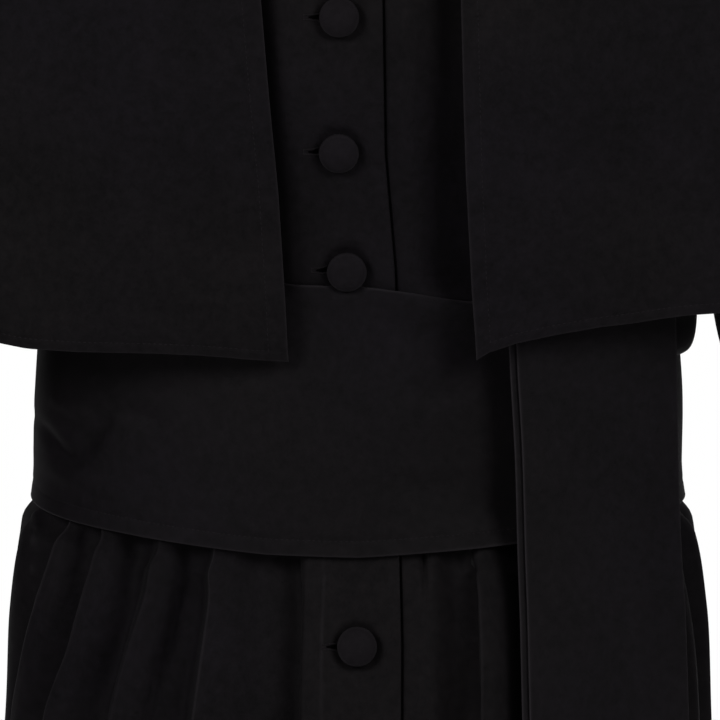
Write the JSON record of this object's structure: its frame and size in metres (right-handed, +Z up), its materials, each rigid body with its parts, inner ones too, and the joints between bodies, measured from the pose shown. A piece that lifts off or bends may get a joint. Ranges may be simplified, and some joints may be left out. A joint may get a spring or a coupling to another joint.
{
  "type": "cassock",
  "caption": "Long black buttoned cassock with an open shoulder cape, a plain stand collar and a broad band sash whose two layered ends hang at the wearer's left.",
  "frame": {"origin": "middle of the shoulders, level with the neck seam at the sides, where the wearer holds the garment up", "axes": "+Z up along the body, -Y the front, +X the wearer's left"},
  "size_m": [0.67, 0.4722, 1.4279],
  "materials": {
    "cassock_cloth": "matt fine wool",
    "sash_cloth": "matt fine faille",
    "button_cloth": "cloth stretched over a dome"
  },
  "bodies": {
    "root": {"bodice_front_right": "cassock_cloth", "bodice_front_left": "cassock_cloth", "bodice_back_right": "cassock_cloth", "bodice_back_left": "cassock_cloth", "skirt_front_right": "cassock_cloth", "skirt_front_left": "cassock_cloth", "skirt_back": "cassock_cloth", "sleeve_top_right": "cassock_cloth", "sleeve_top_left": "cassock_cloth", "sleeve_under_right": "cassock_cloth", "sleeve_under_left": "cassock_cloth", "collar": "cassock_cloth", "cape_front_right": "cassock_cloth", "cape_front_left": "cassock_cloth", "cape_back": "cassock_cloth", "sash_band": "sash_cloth", "sash_knot": "sash_cloth", "sash_fall_upper": "sash_cloth", "sash_fall_under": "sash_cloth", "button_01": "button_cloth", "button_02": "button_cloth", "button_03": "button_cloth", "button_04": "button_cloth", "button_05": "button_cloth", "button_06": "button_cloth", "button_07": "button_cloth", "button_08": "button_cloth", "button_09": "button_cloth", "button_10": "button_cloth", "button_11": "button_cloth", "button_12": "button_cloth", "button_13": "button_cloth", "button_14": "button_cloth", "button_15": "button_cloth", "button_16": "button_cloth", "button_17": "button_cloth", "button_18": "button_cloth"}
  },
  "joints": []
}
